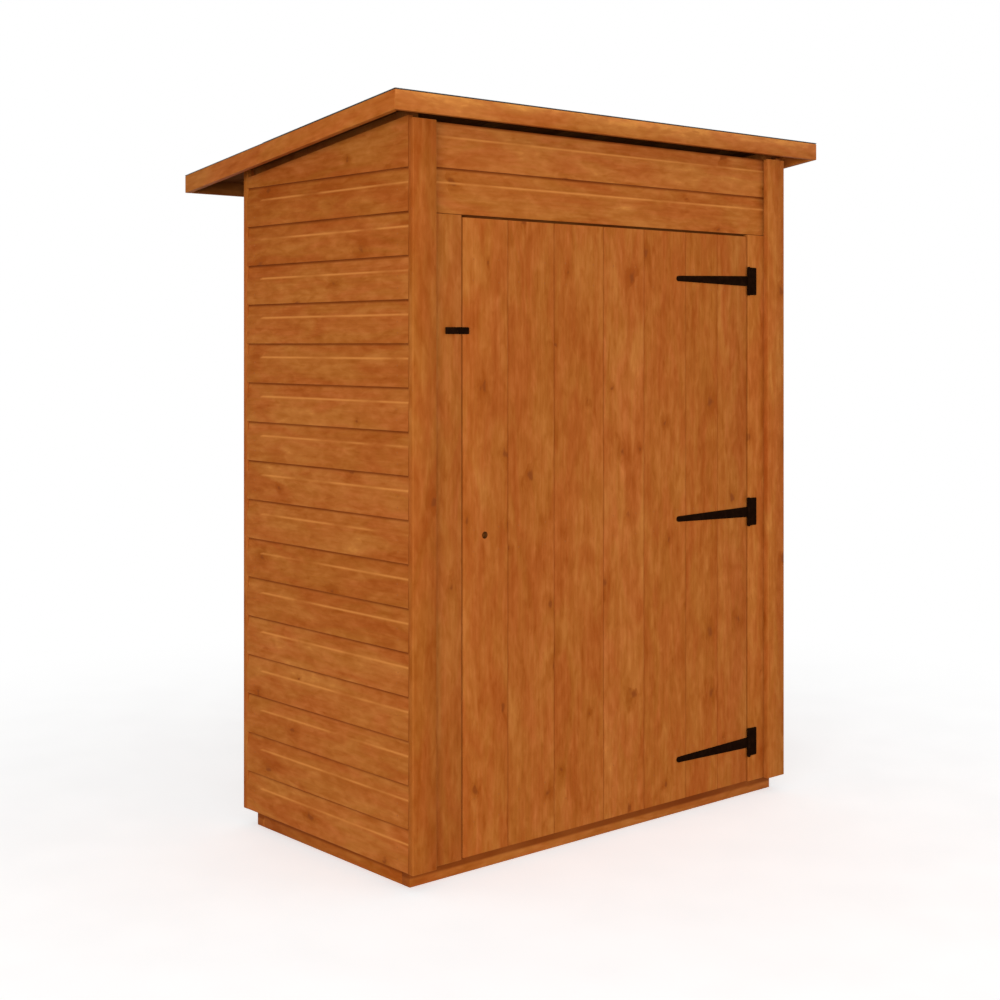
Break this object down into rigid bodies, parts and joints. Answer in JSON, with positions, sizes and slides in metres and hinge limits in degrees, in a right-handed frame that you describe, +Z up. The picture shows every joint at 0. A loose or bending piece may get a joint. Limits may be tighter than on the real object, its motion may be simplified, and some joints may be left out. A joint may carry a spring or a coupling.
{
  "type": "pent tool shed",
  "caption": "Small timber tool shed with shiplap walls, a pent roof sloping to the back, and a boarded front door on T hinges with a turn button.",
  "frame": {"origin": "on the ground, under the middle of the roof's outline", "axes": "+Z up; the door faces -Y; +X is to the right of someone facing the door"},
  "size_m": [1.38, 0.847, 1.6804],
  "materials": {
    "stained_timber": "stained",
    "black_hardware": "black paint",
    "roof_felt": "mineral felt"
  },
  "bodies": {
    "shed": {"floor_bearers": "stained_timber", "floor_joists": "stained_timber", "floor_boards": "stained_timber", "left_cladding": "stained_timber", "right_cladding": "stained_timber", "back_cladding": "stained_timber", "header_cladding": "stained_timber", "left_jamb_board": "stained_timber", "right_jamb_board": "stained_timber", "front_left_corner_strip": "stained_timber", "front_right_corner_strip": "stained_timber", "back_left_corner_strip": "stained_timber", "back_right_corner_strip": "stained_timber", "left_studs": "stained_timber", "right_studs": "stained_timber", "left_rails": "stained_timber", "right_rails": "stained_timber", "back_studs": "stained_timber", "back_rails": "stained_timber", "door_posts": "stained_timber", "front_rails": "stained_timber", "roof_deck": "stained_timber", "roof_felt": "roof_felt", "roof_purlin": "stained_timber", "front_fascia": "stained_timber", "back_fascia": "stained_timber", "left_barge_board": "stained_timber", "right_barge_board": "stained_timber", "low_hinge_plate": "black_hardware", "middle_hinge_plate": "black_hardware", "top_hinge_plate": "black_hardware", "hinge_pins": "black_hardware", "turn_button_screw": "black_hardware"},
    "door": {"door_boards": "stained_timber", "door_ledges": "stained_timber", "door_braces": "stained_timber", "low_hinge_strap": "black_hardware", "middle_hinge_strap": "black_hardware", "top_hinge_strap": "black_hardware", "rim_lock": "black_hardware"},
    "turn_button": {"turn_button": "black_hardware"}
  },
  "joints": [
    {"name": "door_hinge", "type": "hinge", "parent": "shed", "child": "door", "pos_m": [0.4835, -0.369, 0.727], "axis": [0, 0, 1], "range_deg": [0, 165]},
    {"name": "turn_button_pivot", "type": "hinge", "parent": "shed", "child": "turn_button", "pos_m": [-0.479, -0.368, 1.184], "axis": [0, 1, 0], "range_deg": [0, 90]}
  ]
}
